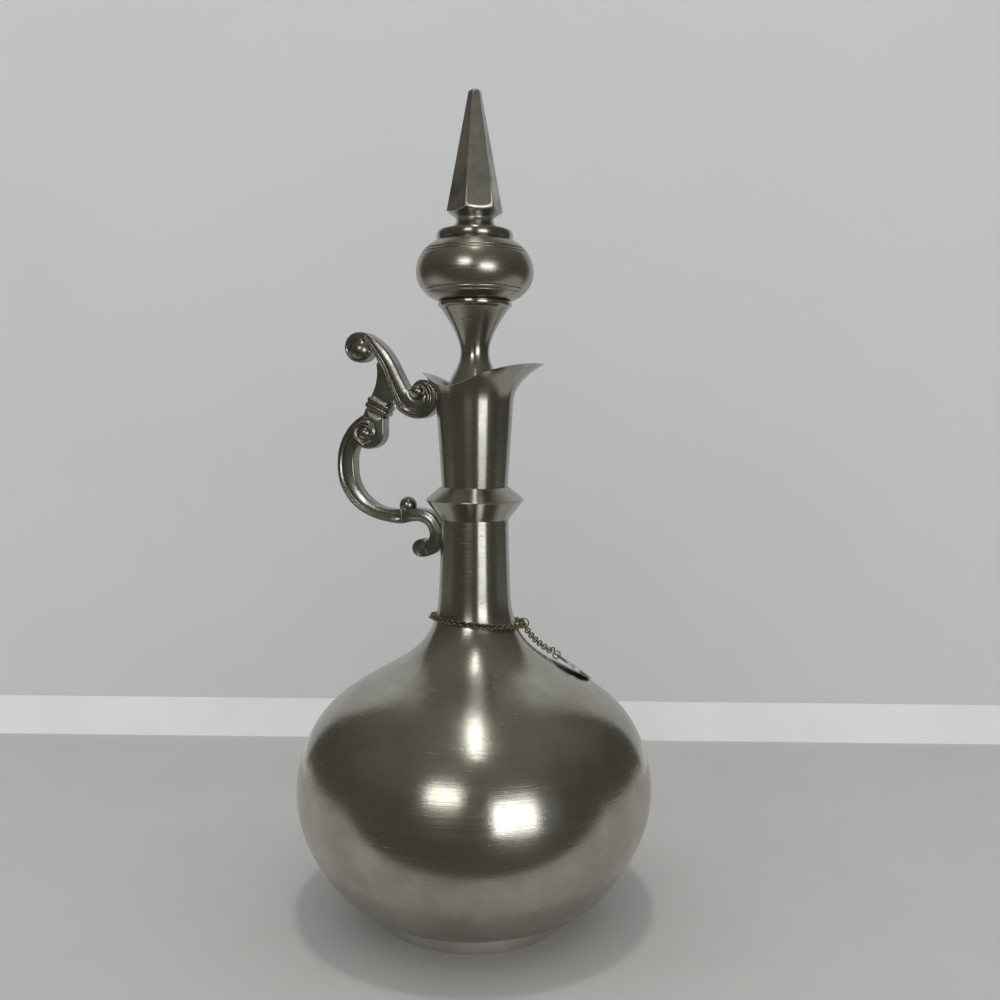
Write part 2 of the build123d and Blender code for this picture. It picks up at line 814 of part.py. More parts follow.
# The chain's free end, from the ring down to the hook
link_reach = link_r - link_wire_r - ring_play
tail_low_lift = tag_ring_r + tag_ring_wire_r + chain_clear
hang = closing_ring_r - closing_wire_r + link_reach - 2 * ring_play
tail_path = []
for step in range(121):
    share = step / 120
    azimuth = tail_start_at + (tail_end_at - tail_start_at) * share**2 * (3 - 2 * share)
    height = ring_height + (tail_end_z - ring_height) * share
    lift = ring_lift + (tail_low_lift - ring_lift) * share
    place = seat(azimuth, height, lift)[0]
    reach = place - ring_centre
    if tail_path:
        tail_path.append(place)
    elif reach.length > hang:
        tail_path.append(ring_centre + reach.normalized() * hang)
links(evenly(tail_path, False), 0, "chain_tail")

# Hook: a bent wire whose two cross bars carry the last link and the tag's ring
end_point, down, side, out = seat(tail_end_at, tail_end_z, tail_low_lift)
first_bar = end_point + down * (link_reach - hook_wire_r)


def hook_point(along, across, up):
    return first_bar + down * along + side * across + out * up


with BuildPart() as wire_hook:
    with BuildLine() as hook_line:
        FilletPolyline(
            hook_point(0, -hook_half, 0),
            hook_point(0, hook_half, 0),
            hook_point(0.5 * hook_long, hook_half, hook_high),
            hook_point(hook_long, hook_half, 0),
            hook_point(hook_long, -hook_half, 0),
            radius=0.55,
        )
    with BuildSketch(Plane(origin=hook_line.line @ 0, z_dir=hook_line.line % 0)):
        Circle(hook_wire_r)
    sweep()
finish(wire_hook, "wire_hook")

tag_pivot = hook_point(hook_long, 0, 0)
tag_ring_centre = tag_pivot + down * (tag_ring_r - tag_ring_wire_r - hook_wire_r - ring_play)
with BuildPart() as tag_ring:
    with Locations(Plane(origin=tag_ring_centre, x_dir=down, z_dir=side)):
        Torus(tag_ring_r, tag_ring_wire_r)
finish(tag_ring, "tag_ring")

# Tag: a plain disc that leans on the shoulder with its far edge
hole_centre = tag_ring_centre + down * tag_ring_r
far_reach = 2 * tag_r - tag_hole_in
far_height = hole_centre.Z
far_edge = hole_centre
while (far_edge - hole_centre).length < far_reach:
    far_height -= 0.05
    far_edge = seat(tail_end_at, far_height, tag_thick / 2 + tag_clear)[0]
tag_down = (far_edge - hole_centre).normalized()
tag_out = side.cross(tag_down).normalized()
tag_centre = hole_centre + tag_down * (tag_r - tag_hole_in)
with BuildPart() as tag:
    with BuildSketch(Plane(origin=tag_centre - tag_out * (tag_thick / 2), x_dir=tag_down, z_dir=tag_out)):
        Circle(tag_r)
        with Locations((-(tag_r - tag_hole_in), 0)):
            Circle(tag_hole_r, mode=Mode.SUBTRACT)
    extrude(amount=tag_thick)
finish(tag, "tag")

print("tag pivot", tag_pivot, "axis", side)
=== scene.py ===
from math import cos, pi, radians, sin

import bmesh
import bpy
import numpy as np
from mathutils import Matrix, Vector
from mathutils.geometry import delaunay_2d_cdt


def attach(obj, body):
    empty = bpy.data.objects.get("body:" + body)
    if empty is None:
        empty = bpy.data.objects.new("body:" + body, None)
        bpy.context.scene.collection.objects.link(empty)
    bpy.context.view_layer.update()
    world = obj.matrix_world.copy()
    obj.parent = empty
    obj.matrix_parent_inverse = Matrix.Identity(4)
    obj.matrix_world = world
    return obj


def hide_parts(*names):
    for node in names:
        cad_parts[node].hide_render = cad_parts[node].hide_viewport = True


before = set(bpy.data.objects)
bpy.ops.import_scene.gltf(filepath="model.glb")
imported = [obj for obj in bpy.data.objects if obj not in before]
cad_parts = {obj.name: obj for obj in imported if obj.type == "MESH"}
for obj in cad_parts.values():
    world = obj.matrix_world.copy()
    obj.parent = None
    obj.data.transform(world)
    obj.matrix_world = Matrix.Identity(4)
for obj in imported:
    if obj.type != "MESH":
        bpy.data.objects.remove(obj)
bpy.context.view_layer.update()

# Lower bowl: the body's lower half, spun from pewter sheet 1.6 mm thick, with a flat floor.
# It is soldered to the shoulder at the body's widest line and to the foot ring underneath.
mm = 0.001
wall = 1.6
belly = (70.1, 50.5)
segments = 256


def hex_colour(code):
    """An sRGB hex colour as the linear values that the shader takes."""
    parts = [int(code[i : i + 2], 16) / 255 for i in (1, 3, 5)]
    return [c / 12.92 if c <= 0.04045 else ((c + 0.055) / 1.055) ** 2.4 for c in parts] + [1]


def node(tree, kind, settings=None, **links):
    """Adds a node; a link's name is a socket's name or its number after in_."""
    made = tree.nodes.new(kind)
    for key, value in (settings or {}).items():
        setattr(made, key, value)
    for key, value in links.items():
        by_number = key.startswith("in_")
        socket = made.inputs[int(key[3:]) if by_number else key.replace("_", " ")]
        if isinstance(value, bpy.types.NodeSocket):
            tree.links.new(value, socket)
        else:
            socket.default_value = value
    return made


colour_mix = {"data_type": "RGBA"}


def new_material(name):
    """A material with its node tree and its shader."""
    material = bpy.data.materials.new(name)
    material.use_nodes = True
    tree = material.node_tree
    return material, tree, tree.nodes["Principled BSDF"]


def place_in_mm(tree):
    """Object coordinates in millimetres."""
    place = node(tree, "ShaderNodeTexCoord").outputs["Object"]
    scaled = node(tree, "ShaderNodeVectorMath", {"operation": "SCALE"}, in_0=place, Scale=1000.0)
    return scaled.outputs[0]


def pewter(name, lathe, tint, dark, rough, stretch=0.0, cloud_mm=22):
    """Tin alloy with a satin, slightly tarnished skin, from its tint to its dark clouds.
    Lathe is the strength of the turning marks, which run round the Z axis, and stretch draws
    the highlights out across them."""
    material, tree, shader = new_material(name)
    place = place_in_mm(tree)
    split = node(tree, "ShaderNodeSeparateXYZ", in_0=place)
    flat = node(tree, "ShaderNodeVectorMath", {"operation": "MULTIPLY"}, in_0=place, in_1=(1, 1, 0))
    radius = node(tree, "ShaderNodeVectorMath", {"operation": "LENGTH"}, in_0=flat.outputs[0])
    meridian = node(
        tree, "ShaderNodeCombineXYZ", X=radius.outputs["Value"], Y=split.outputs["Z"]
    ).outputs[0]
    # turning marks: one value for each circle round the axis, coarser than the real ones to show
    mark_mm, grain_mm, nick_mm = 0.35, 0.6, 8
    in_plane = {"noise_dimensions": "2D"}
    marks = node(
        tree, "ShaderNodeTexNoise", in_plane, Vector=meridian, Scale=1 / mark_mm, Detail=3.0
    ).outputs[0]
    # tarnish: soft clouds, and the fine grain of the skin
    clouds = node(
        tree, "ShaderNodeTexNoise", Vector=place, Scale=1 / cloud_mm, Detail=5.0, Roughness=0.62
    ).outputs[0]
    grain = node(
        tree, "ShaderNodeTexNoise", Vector=place, Scale=1 / grain_mm, Detail=4.0, Roughness=0.7
    ).outputs[0]
    # handling scratches: long thin streaks cut out of a stretched noise
    slant = node(
        tree, "ShaderNodeMapping", Vector=place, Rotation=(0.3, 0.5, 0.9), Scale=(0.05, 0.9, 0.9)
    ).outputs[0]
    streaks = node(
        tree, "ShaderNodeTexNoise", Vector=slant, Scale=1.1, Detail=2.0, Distortion=0.4
    ).outputs[0]
    scratches = node(tree, "ShaderNodeMapRange", in_0=streaks, in_1=0.70, in_2=0.74).outputs[0]
    # nicks: a small dent here and there
    spots = node(tree, "ShaderNodeTexVoronoi", Vector=place, Scale=1 / nick_mm).outputs["Distance"]
    nicks = node(
        tree, "ShaderNodeMapRange", in_0=spots, in_1=0.02, in_2=0.045, in_3=1.0, in_4=0.0
    ).outputs[0]
    cover = node(tree, "ShaderNodeMapRange", in_0=clouds, in_1=0.35, in_2=0.68).outputs[0]
    clean, tarnished = hex_colour(tint), hex_colour(dark)
    colour = node(tree, "ShaderNodeMix", colour_mix, in_0=cover, in_6=clean, in_7=tarnished)
    tree.links.new(colour.outputs[2], shader.inputs["Base Color"])
    # clouds and scratches are duller than the clean skin
    least, most = rough - 0.03, rough + 0.07
    gloss = node(
        tree, "ShaderNodeMapRange", in_0=clouds, in_1=0.3, in_2=0.7, in_3=least, in_4=most
    ).outputs[0]
    add_share = {"operation": "MULTIPLY_ADD"}
    gloss = node(
        tree, "ShaderNodeMath", add_share, in_0=scratches, in_1=0.16, in_2=gloss
    ).outputs[0]
    if lathe:
        # fine turning leaves rings that shine a little more or less than their neighbours
        rings = node(
            tree, "ShaderNodeMapRange", in_0=marks, in_1=0.3, in_2=0.7, in_3=-0.03, in_4=0.035
        ).outputs[0]
        gloss = node(
            tree, "ShaderNodeMath", {"operation": "ADD"}, in_0=gloss, in_1=rings
        ).outputs[0]
    tree.links.new(gloss, shader.inputs["Roughness"])
    # marks and grain stand up from the skin, scratches and nicks are cut into it
    relief = node(
        tree, "ShaderNodeMath", {"operation": "MULTIPLY"}, in_0=marks, in_1=lathe
    ).outputs[0]
    for layer, share in ((scratches, -0.25), (grain, 0.35), (nicks, -0.8)):
        relief = node(
            tree, "ShaderNodeMath", add_share, in_0=layer, in_1=share, in_2=relief
        ).outputs[0]
    bump = node(tree, "ShaderNodeBump", Height=relief, Strength=0.4, Distance=0.04 * mm)
    tree.links.new(bump.outputs[0], shader.inputs["Normal"])
    shader.inputs["Metallic"].default_value = 1.0
    if stretch:
        # a quarter turn puts the stretch of the highlights across the turning marks
        shader.inputs["Anisotropic"].default_value = stretch
        shader.inputs["Anisotropic Rotation"].default_value = 0.25
        tangent = node(tree, "ShaderNodeTangent", {"direction_type": "RADIAL", "axis": "Z"})
        tree.links.new(tangent.outputs[0], shader.inputs["Tangent"])
    return material


def smooth_line(knots, first, last, steps=16):
    """Points on the smooth curve through the knots, from its first to its last direction."""
    p = np.array(knots, float)
    h = np.linalg.norm(np.diff(p, axis=0), axis=1)
    rows = np.eye(len(p))
    pull = np.zeros_like(p)
    pull[0] = np.array(first, float) / np.linalg.norm(first)
    pull[-1] = np.array(last, float) / np.linalg.norm(last)
    for i in range(1, len(p) - 1):
        rows[i, i - 1 : i + 2] = 1 / h[i - 1], 2 / h[i - 1] + 2 / h[i], 1 / h[i]
        pull[i] = 3 * ((p[i] - p[i - 1]) / h[i - 1] ** 2 + (p[i + 1] - p[i]) / h[i] ** 2)
    slope = np.linalg.solve(rows, pull)
    line = []
    for i in range(len(p) - 1):
        for step in range(steps):
            t = step / steps
            line.append(
                p[i] * (2 * t**3 - 3 * t**2 + 1)
                + p[i + 1] * (3 * t**2 - 2 * t**3)
                + slope[i] * h[i] * (t**3 - 2 * t**2 + t)
                + slope[i + 1] * h[i] * (t**3 - t**2)
            )
    line.append(p[-1])
    return line


def inset(line, depth):
    """The line moved to its left by a depth."""
    line = np.array(line)
    heading = np.gradient(line, axis=0)
    heading /= np.linalg.norm(heading, axis=1)[:, None]
    return [p + depth * np.array((-d[1], d[0])) for p, d in zip(line, heading)]


def show(name, mesh):
    """A new piece of the scene from its mesh."""
    piece = bpy.data.objects.new(name, mesh)
    bpy.context.scene.collection.objects.link(piece)
    return piece


def mesh_piece(name, points, faces, material, sharp=40):
    """A piece from points in millimetres; edges above an angle in degrees stay sharp."""
    mesh = bpy.data.meshes.new(name)
    mesh.from_pydata([Vector(p) * mm for p in points], [], faces)
    work = bmesh.new()
    work.from_mesh(mesh)
    bmesh.ops.remove_doubles(work, verts=work.verts, dist=0.0001 * mm)
    bmesh.ops.dissolve_degenerate(work, edges=work.edges, dist=0.0001 * mm)
    bmesh.ops.recalc_face_normals(work, faces=work.faces)
    work.to_mesh(mesh)
    work.free()
    mesh.shade_smooth()
    mesh.set_sharp_from_angle(angle=radians(sharp))
    mesh.materials.append(material)
    return show(name, mesh)


def swept_faces(count):
    """The faces between columns of points that stand round the axis, each column a closed loop."""
    faces = []
    for turn in range(segments):
        here, there = turn * count, (turn + 1) % segments * count
        for i in range(count):
            j = (i + 1) % count
            faces.append((here + i, there + i, there + j, here + j))
    return faces


def turned(name, outline, material, sharp=40):
    """A lathe-turned piece from its closed outline of radius and height in millimetres."""
    points = []
    for turn in range(segments):
        angle = 2 * pi * turn / segments
        points += [(r * cos(angle), r * sin(angle), z) for r, z in outline]
    return mesh_piece(name, points, swept_faces(len(outline)), material, sharp)


def stands_for(piece, body, slot, *nodes):
    """The piece moves with a body and hides its CAD nodes; the slot argument is not used."""
    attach(piece, body)
    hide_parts(*nodes)


# a dark satin skin with broad soft highlights, faint rings and a few scratches
spun_pewter = pewter("spun_pewter", 1.0, "#B9B8AF", "#A09C90", 0.19, 0.45)

floor_r, floor_z, foot_r, foot_slope = 34.0, 3.0, 39.3, 0.54
side_steps = 24


def underside(radius):
    """Height of the bowl's sloping underside, where the foot ring is soldered on."""
    return floor_z + foot_slope * (radius - floor_r)


bowl_start = foot_r + 0.4
bowl_side = smooth_line(
    [(bowl_start, underside(bowl_start)), (49.5, 10.3), (61.1, 23.0), belly],
    (1, foot_slope * 0.8),
    (0, 1),
    side_steps,
)
bowl_outline = [(0, floor_z), (floor_r, floor_z), *bowl_side]
bowl_outline += inset(bowl_side, wall)[::-1]
bowl_outline += [(floor_r - 0.25 * wall, floor_z + wall), (0, floor_z + wall)]
bowl = turned("bowl", bowl_outline, spun_pewter)
stands_for(bowl, "vessel", "pewter", "lower_bowl")

# Shoulder: the body's upper half, spun from the same sheet and drawn in to the foot of the neck.
# It is soldered to the bowl; its outer line runs on into the neck without a step.
neck_base, neck_mid, neck_top = (15.4, 118.0), (13.95, 130.0), (13.1, 163.0)
whole_line = smooth_line(
    [belly, (60.2, 79.1), (34.0, 97.8), (19.5, 109.5), neck_base, neck_mid, neck_top],
    (0, 1),
    (-0.02, 1),
    side_steps,
)
whole_inner = inset(whole_line, wall)
seam = 4 * side_steps
shoulder_outline = whole_line[: seam + 1] + whole_inner[: seam + 1][::-1]
shoulder = turned("shoulder", shoulder_outline, spun_pewter)
stands_for(shoulder, "vessel", "pewter", "shoulder_shell")

# Neck: a spun pewter tube, soldered to the shoulder under the chain.
# It narrows a little on its way up into the collar.

# a smoother skin whose highlights run as long narrow bands up the tube
turned_pewter = pewter("turned_pewter", 1.0, "#AEAEA5", "#95938A", 0.2, 0.75)
neck = turned("neck", whole_line[seam:] + whole_inner[seam:][::-1], turned_pewter)
stands_for(neck, "vessel", "pewter", "neck_tube")

# Foot: a ring cast in pewter, turned, and soldered to the bowl's sloping underside.
# It carries the decanter, so its lower edge is rounded and worn by the table.

# a pale dull grey with little of the body's tarnish, worn by the table, and painted much brighter
# than the other pewter as a painted reflection of the lit table
worn_and_sheen_pewter = pewter("worn_and_sheen_pewter", 1.0, "#E3E2DB", "#CFCDC4", 0.33, 0.3)
foot_wide, foot_round, foot_corner = 4.6, 0.6, 0.18
foot_in = foot_r - foot_wide
foot_outline = [
    (foot_in + foot_round, 0),
    (foot_r - foot_round, 0),
    (foot_r - foot_corner, foot_corner),
    (foot_r, foot_round),
    (foot_r, underside(foot_r)),
    (foot_in, underside(foot_in)),
    (foot_in, foot_round),
    (foot_in + foot_corner, foot_corner),
]
foot = turned("foot", foot_outline, worn_and_sheen_pewter, 50)
stands_for(foot, "vessel", "pewter", "foot_ring")

# Collar: a turned pewter ring with a sharp crease, soldered over the joint of neck and mouth.
# The joint's height is the zero from which mouth, handle and stopper are measured.
joint_z = 163.0
collar_half, crease_up, collar_r = 6.3, 1.2, 19.3
mouth_low_r, mouth_taper, mouth_wall = 12.5, 0.0637, 1.5
collar_top_r = mouth_low_r + mouth_taper * collar_half + 0.05
# five points round over the crease, within a third of a millimetre
collar_outline = [
    (neck_top[0] + 0.16, -collar_half),
    (neck_top[0] + 0.4, -collar_half),
    (collar_r - 0.28, crease_up - 0.36),
    (collar_r - 0.1, crease_up - 0.14),
    (collar_r - 0.06, crease_up),
    (collar_r - 0.1, crease_up + 0.13),
    (collar_r - 0.32, crease_up + 0.32),
    (collar_top_r + 0.35, collar_half),
    (collar_top_r, collar_half),
    (mouth_low_r + 0.05, 0),
    (neck_top[0] + 0.02, 0),
]
collar = turned("collar", [(r, joint_z + up) for r, up in collar_outline], turned_pewter, 30)
stands_for(collar, "vessel", "pewter", "neck_collar")

# Mouth: a spun pewter cone, soldered into the collar.
# Its rim is drawn out by hand into the spout in front and a small lip over the handle.
spout_flare_up, spout_reach, spout_rise, spout_curl = 39.0, 11.4, 14.6, 2.2
lip_flare_up, lip_reach, lip_rise, lip_curl = 42.0, 4.6, 8.0, 1.6
flare_narrowness = 2.2
rim_low_up, rim_spout_up, rim_lip_up = 45.2, 53.4, 49.9
rim_fall, rim_climb = rim_lip_up - rim_low_up, rim_spout_up - rim_low_up
# the rim seen from the side, from the handle's end to the spout's
rim_line = np.array(
    smooth_line(
        [
            (-2.4 * mouth_low_r, rim_lip_up + 0.8 * rim_fall),
            (-1.52 * mouth_low_r, rim_lip_up),
            (-1.03 * mouth_low_r, rim_low_up + 0.3 * rim_fall),
            (-0.48 * mouth_low_r, rim_low_up),
            (0, rim_low_up + 0.13 * rim_climb),
            (0.52 * mouth_low_r, rim_low_up + 0.44 * rim_climb),
            (1.32 * mouth_low_r, rim_low_up + 0.82 * rim_climb),
            (2 * mouth_low_r, rim_spout_up),
            (3 * mouth_low_r, rim_spout_up + 0.6),
        ],
        (1, -0.37),
        (1, 0.05),
    )
)


def mouth_radius(angle, up):
    """Outer radius of the mouth's wall, at an angle from the spout and a height over the joint."""
    spout = spout_reach * (max(0, up - spout_flare_up) / spout_rise) ** spout_curl
    lip = lip_reach * (max(0, up - lip_flare_up) / lip_rise) ** lip_curl
    spout_share = ((1 + cos(angle)) / 2) ** flare_narrowness
    lip_share = ((1 - cos(angle)) / 2) ** flare_narrowness
    return mouth_low_r + mouth_taper * up + spout * spout_share + lip * lip_share


def rim_height(angle, depth):
    """The height at which the wall, that deep inside the outer face, meets the rim's cut."""
    up = rim_low_up
    # half steps towards the cut settle on the height where wall and cut meet
    for _ in range(40):
        x = (mouth_radius(angle, up) - depth) * cos(angle)
        up = 0.5 * up + 0.5 * float(np.interp(x, rim_line[:, 0], rim_line[:, 1]))
    return up


# rows of points as shares of the wall's height, close together where it flares
flare_start, flare_rows = 0.74, 22
rises = [0, 0.2, 0.4, 0.55, 0.66, 0.72]
rises += [flare_start + (1 - flare_start) * i / flare_rows for i in range(flare_rows + 1)]
edge_in, edge_drop = 0.05, 0.12
mouth_points = []
for turn in range(segments):
    angle = 2 * pi * turn / segments
    outer_top, inner_top = rim_height(angle, 0), rim_height(angle, mouth_wall)
    outer = [(mouth_radius(angle, outer_top * s), outer_top * s) for s in rises]
    inner = [(mouth_radius(angle, inner_top * s) - mouth_wall, inner_top * s) for s in rises]
    # the rim's edge is rounded over with three points
    (r0, z0), (r1, z1) = outer[-1], inner[-1]
    outer[-1] = (r0 - edge_in, z0 - edge_drop)
    inner[-1] = (r1 + edge_in, z1 - edge_drop)
    over = [
        (r0 + (r1 - r0) * share, z0 + (z1 - z0) * share + raised)
        for share, raised in ((0.2, 0.03), (0.5, 0.06), (0.8, 0.03))
    ]
    for r, up in outer + over + inner[::-1]:
        mouth_points.append((r * cos(angle), r * sin(angle), joint_z + up))
mouth_faces = swept_faces(2 * len(rises) + 3)
mouth = mesh_piece("mouth", mouth_points, mouth_faces, turned_pewter, 50)
stands_for(mouth, "vessel", "pewter", "mouth_spout")

# Stopper stem: one turned pewter piece, a bell inside the mouth that narrows and flares again.
# It sits on the cork and carries the knob on its flange; the stud runs through all of them.
cork_top, stopper_gap, bell_r, bell_edge = 34.7, 0.3, 12.5, 2.4
stud_hole = 2.05
flange_up, flange_r, flange_thick = 77.5, 14.2, 2.0
stem_up = cork_top + stopper_gap
stem_outline = [(stud_hole, stem_up), (bell_r, stem_up)]
stem_outline += smooth_line(
    [
        (bell_r, stem_up + bell_edge),
        (9.5, 47.8),
        (5.6, 57.0),
        (7.9, 66.4),
        (flange_r - 0.9, flange_up - flange_thick - 0.3),
    ],
    (-0.1, 1),
    (0.7, 1),
)
# the flange's edges are rounded over by about half a millimetre
stem_outline += [
    (flange_r - 0.25, flange_up - flange_thick),
    (flange_r, flange_up - flange_thick + 0.4),
    (flange_r, flange_up - 0.6),
    (flange_r - 0.15, flange_up - 0.15),
    (flange_r - 0.6, flange_up),
    (stud_hole, flange_up),
]
stem = turned("stem", [(r, joint_z + up) for r, up in stem_outline], turned_pewter)
stands_for(stem, "stopper", "pewter", "stopper_stem")

# Knob: two spun pewter halves, soldered at the widest line, with two fine grooves round each.
# It is hollow and sits on the stem's flange, held by the stud.
knob_z, knob_r, knob_tall, knob_mid = joint_z + flange_up, 22.6, 22.6, 10.9
knob_low_r, knob_top_r, knob_wall = 13.2, 15.2, 1.8
groove, groove_spread = 0.32, 1.1
knob_steps = 60


def grooved(line, heights):
    """The line with a rounded groove cut into it at each height over the knob's foot."""
    cut = []
    for r, z in line:
        offsets = ((z - knob_z - up) / (groove_spread * groove) for up in heights)
        cut.append((r - sum(groove * max(0, 1 - offset**2) for offset in offsets), z))
    return cut


# a duller and browner skin than the body's, with softer highlights
satin_pewter = pewter("satin_pewter", 1.0, "#AFACA1", "#8E897B", 0.27, 0.3)
low_line = smooth_line(
    [(knob_low_r, knob_z), (0.82 * knob_r, knob_z + 0.24 * knob_mid), (knob_r, knob_z + knob_mid)],
    (1, 0.32),
    (0, 1),
    knob_steps,
)
low_outline = [(stud_hole, knob_z), *grooved(low_line, (0.29 * knob_mid, 0.4 * knob_mid))]
low_outline += inset(low_line, knob_wall)[::-1]
low_outline += [(knob_low_r - 0.2 * knob_wall, knob_z + knob_wall), (stud_hole, knob_z + knob_wall)]
knob_low = turned("knob_low", low_outline, satin_pewter, 60)
stands_for(knob_low, "stopper", "pewter", "knob_lower")

knob_top_z = knob_z + knob_tall
top_line = smooth_line(
    [
        (knob_r, knob_z + knob_mid),
        (0.89 * knob_r, knob_z + knob_mid + 0.655 * (knob_tall - knob_mid)),
        (knob_top_r, knob_top_z),
    ],
    (0, 1),
    (-1, 0.5),
    knob_steps,
)
top_outline = grooved(top_line, (0.79 * knob_tall, 0.84 * knob_tall))
top_outline += [(stud_hole, knob_top_z), (stud_hole, knob_top_z - knob_wall)]
top_outline += [(knob_top_r - 0.2 * knob_wall, knob_top_z - knob_wall)]
top_outline += inset(top_line, knob_wall)[::-1]
knob_top = turned("knob_top", top_outline, satin_pewter, 60)
stands_for(knob_top, "stopper", "pewter", "knob_upper")

# Cap: a turned pewter disc with a rounded rim, hollowed in to the foot of the spire.
# It sits on the knob, and the stud holds both together.
cap_r, cap_rim, cap_tall, cap_neck_r = 14.7, 4.0, 7.4, 7.35
cap_flat_r, rim_steps = 0.93 * cap_r, 24
cap_outline = [(stud_hole, knob_top_z)]
for step in range(rim_steps + 1):
    swing = pi * (step / rim_steps - 0.5)
    rim_r = cap_flat_r + (cap_r - cap_flat_r) * cos(swing)
    cap_outline.append((rim_r, knob_top_z + cap_rim / 2 * (1 + sin(swing))))
cap_outline += smooth_line(
    [(cap_flat_r, knob_top_z + cap_rim), (cap_neck_r, knob_top_z + cap_tall)],
    (-1, 0.12),
    (-0.25, 1),
    rim_steps,
)[1:]
cap_outline += [(stud_hole, knob_top_z + cap_tall)]
cap = turned("cap", cap_outline, turned_pewter)
stands_for(cap, "stopper", "pewter", "knob_cap")

# Spire: a hexagonal pyramid cast in pewter, with its faces ground flat by hand.
# Its foot is turned and screwed on the end of the stud, over the cap.


def smooth_copy(node_name, name, material, sharp=28):
    """The CAD node's own form as a new piece, its loose triangles joined and its curves smooth."""
    work = bmesh.new()
    work.from_mesh(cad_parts[node_name].data)
    bmesh.ops.remove_doubles(work, verts=work.verts, dist=0.0002 * mm)
    mesh = bpy.data.meshes.new(name)
    work.to_mesh(mesh)
    work.free()
    mesh.materials.clear()
    mesh.materials.append(material)
    mesh.shade_smooth()
    mesh.set_sharp_from_angle(angle=radians(sharp))
    return show(name, mesh)


# a mottled grey without rings, so that each flat face has one even tone
ground_pewter = pewter("ground_pewter", 0.0, "#BFBEB6", "#8A887D", 0.3, 0.0, 9)
spire = smooth_copy("spire", "spire_point", ground_pewter)
stands_for(spire, "stopper", "pewter", "spire")

# Handle: pewter castings soldered end to end and to the mouth and neck, fettled by hand.
# Their flat sides get their relief here: a low dome, a raised bead that follows a strap's edge
# into its curl, and a hollow round each eye.


def edge_distance(points, starts, ends):
    """Each point's distance to the nearest of the edges."""
    near = np.full(len(points), 1e9)
    for a, b in zip(starts, ends):
        along = b - a
        share = np.clip(((points - a) @ along) / max(along @ along, 1e-12), 0, 1)
        near = np.minimum(near, np.linalg.norm(points - a - share[:, None] * along, axis=1))
    return near


def within(points, starts, ends):
    """Whether each point lies inside the closed edges."""
    inside = np.zeros(len(points), bool)
    for (ax, az), (bx, bz) in zip(starts, ends):
        if az != bz:
            spans = (az > points[:, 1]) != (bz > points[:, 1])
            inside ^= spans & (points[:, 0] < (bx - ax) * (points[:, 1] - az) / (bz - az) + ax)
    return inside


def outermost(starts, ends):
    """The edges that belong to the longest loop, as their numbers."""
    nexts = {}
    for i, (a, b) in enumerate(zip(starts, ends)):
        for end in (a, b):
            nexts.setdefault(tuple(np.round(end, 5)), []).append(i)
    left, loops = set(range(len(starts))), []
    while left:
        loop, todo = [], [left.pop()]
        while todo:
            i = todo.pop()
            loop.append(i)
            for end in (starts[i], ends[i]):
                for near in nexts[tuple(np.round(end, 5))]:
                    if near in left:
                        left.discard(near)
                        todo.append(near)
        loops.append(loop)
    return max(loops, key=lambda loop: np.ptp(starts[loop], axis=0).sum())


def relief(points, rim_gap, dome, dome_reach, bead, eyes, joint):
    """Height of a casting's side over its flat, at points out from the neck and up from the joint.
    All sizes are millimetres."""
    height = dome * (1 - (1 - np.clip(rim_gap / dome_reach, 0, 1)) ** 2)
    if bead:
        # a rounded bead with a shallow groove on both of its sides
        bead_high, bead_wide, furrow_deep, furrow_off, furrow_wide = 0.5, 0.42, 0.45, 1.15, 0.5
        first, last = np.subtract(bead[1], bead[0]), np.subtract(bead[-1], bead[-2])
        line = np.array(smooth_line(bead, first, last, 10))
        gap = edge_distance(points, line[:-1], line[1:])
        height += bead_high * np.exp(-((gap / bead_wide) ** 2))
        height -= furrow_deep * np.exp(-(((gap - furrow_off) / furrow_wide) ** 2))
    hollow_deep, hollow_wide, joint_fade = 0.75, 0.9, 4
    for centre, radius in eyes:
        gap = np.linalg.norm(points - np.array(centre), axis=1) - radius
        height -= hollow_deep * np.exp(-((np.maximum(gap, 0) / hollow_wide) ** 2))
    if joint is not None:
        # two castings that are soldered end to end meet at the joint without a step
        height = height * np.clip(np.abs(points[:, 0] - joint) / joint_fade, 0, 1)
    return height


